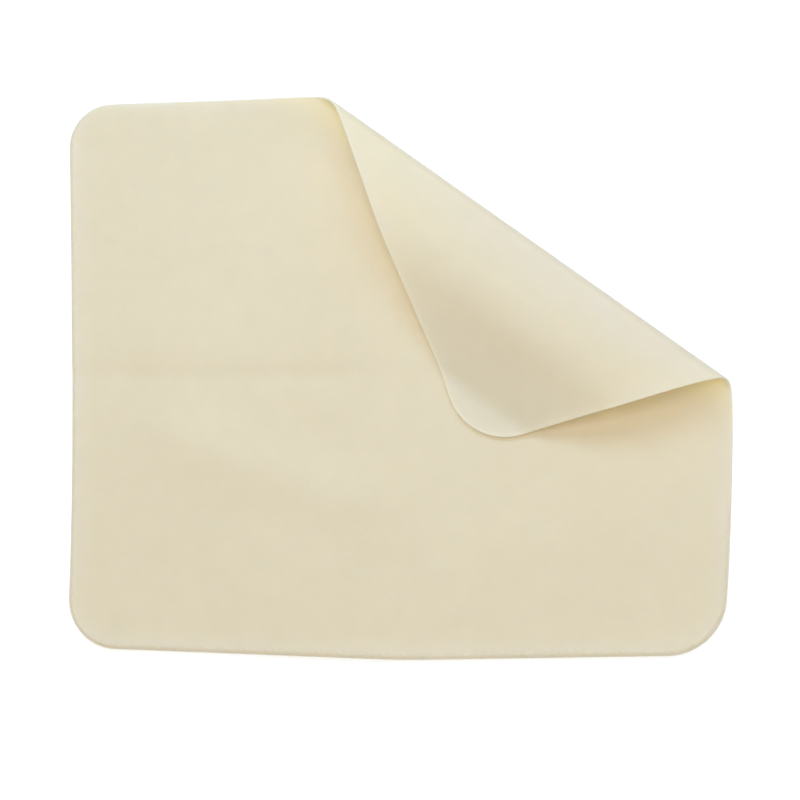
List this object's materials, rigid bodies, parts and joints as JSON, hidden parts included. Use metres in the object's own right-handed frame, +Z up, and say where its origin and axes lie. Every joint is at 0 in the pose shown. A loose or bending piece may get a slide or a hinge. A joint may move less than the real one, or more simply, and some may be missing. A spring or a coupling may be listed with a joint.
{
  "type": "microfibre suede cloth",
  "caption": "Flat rectangular suede-finish cleaning cloth with round corners, one corner turned over in a soft roll that unfolds until the sheet lies flat.",
  "frame": {"origin": "on the resting surface, under the middle of the cut rectangle", "axes": "+Z up from the resting surface, +X along the cloth's long side, +Y along its short side towards the turned corner"},
  "size_m": [0.18, 0.15, 0.0155],
  "materials": {
    "suede": "cream microfibre suede, matt, with a short soft nap on both sides and cut edges"
  },
  "bodies": {
    "main_panel": {"main_panel": "suede", "lift_edge": "suede"},
    "lift_band": {"lift_band": "suede"},
    "nose_band": {"nose_band": "suede"},
    "shoulder_band_1": {"shoulder_band_1": "suede"},
    "shoulder_band_2": {"shoulder_band_2": "suede"},
    "flap_panel": {"flap_panel": "suede"},
    "corner_tip": {"corner_tip": "suede"}
  },
  "joints": [
    {"name": "corner_unfold", "type": "hinge", "parent": "main_panel", "child": "lift_band", "pos_m": [0.02813, 0.0304, 0.00104], "axis": [-0.8119, 0.5838, 0], "range_deg": [0, 24]},
    {"name": "nose_bend_1", "type": "hinge", "parent": "lift_band", "child": "nose_band", "pos_m": [0.03543, 0.03529, 0.00445], "axis": [-0.8119, 0.5838, 0], "range_deg": [0, 61.5]},
    {"name": "nose_bend_2", "type": "hinge", "parent": "nose_band", "child": "shoulder_band_1", "pos_m": [0.03666, 0.03477, 0.00812], "axis": [-0.8119, 0.5838, 0], "range_deg": [0, 61.5]},
    {"name": "shoulder_bend_1", "type": "hinge", "parent": "shoulder_band_1", "child": "shoulder_band_2", "pos_m": [0.03411, 0.02431, 0.01478], "axis": [-0.8119, 0.5838, 0], "range_deg": [0, 30.75]},
    {"name": "shoulder_bend_2", "type": "hinge", "parent": "shoulder_band_2", "child": "flap_panel", "pos_m": [0.03248, 0.01896, 0.01498], "axis": [-0.8119, 0.5838, 0], "range_deg": [0, 30.75]},
    {"name": "landing_bend", "type": "hinge", "parent": "flap_panel", "child": "corner_tip", "pos_m": [0.02517, -0.00815, 0.00175], "axis": [0.8119, -0.5838, 0], "range_deg": [0, 28.5]}
  ],
  "couplings": [
    {"joint": "nose_bend_1", "follows": "corner_unfold", "ratio": 2.5625},
    {"joint": "nose_bend_2", "follows": "corner_unfold", "ratio": 2.5625},
    {"joint": "shoulder_bend_1", "follows": "corner_unfold", "ratio": 1.2812},
    {"joint": "shoulder_bend_2", "follows": "corner_unfold", "ratio": 1.2812},
    {"joint": "landing_bend", "follows": "corner_unfold", "ratio": 1.1875}
  ]
}
